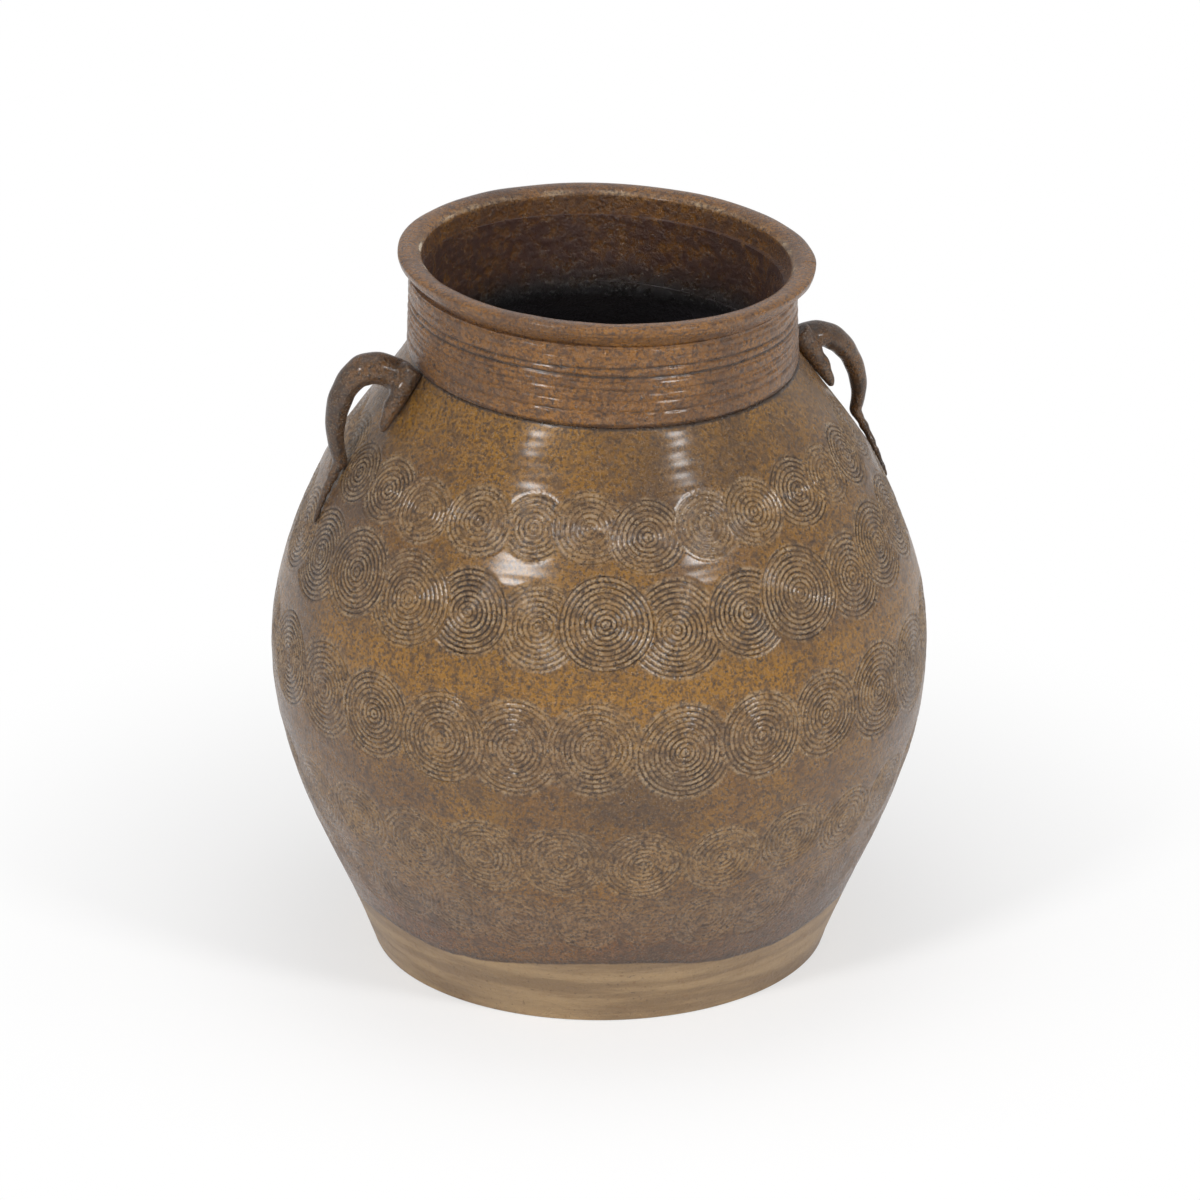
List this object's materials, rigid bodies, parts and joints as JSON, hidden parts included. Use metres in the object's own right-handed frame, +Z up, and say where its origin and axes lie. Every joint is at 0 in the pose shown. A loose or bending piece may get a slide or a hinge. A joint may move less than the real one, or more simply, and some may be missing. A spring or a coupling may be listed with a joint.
{
  "type": "storage jar",
  "caption": "Wide-mouthed martaban storage jar of glazed stoneware, with stamped rings, a short neck, a turned-out lip and coil lugs.",
  "frame": {"origin": "middle of the underside, where the jar stands", "axes": "+Z up out of the mouth, -Y towards the front, +X towards the right lug"},
  "size_m": [0.3284, 0.3284, 0.3719],
  "materials": {
    "bare_clay": "rough unglazed tan clay",
    "amber_glaze": "glossy amber glaze with dark speckle",
    "neck_glaze": "glossy brown glaze over fine throwing ridges",
    "lug_glaze": "glossy brown glaze, thin on the high places"
  },
  "bodies": {
    "root": {"floor_disc": "bare_clay", "foot_ring": "bare_clay", "lower_wall": "amber_glaze", "shoulder_wall": "amber_glaze", "neck_collar": "neck_glaze", "lip_roll": "neck_glaze", "left_lug": "lug_glaze", "right_lug": "lug_glaze"}
  },
  "joints": []
}
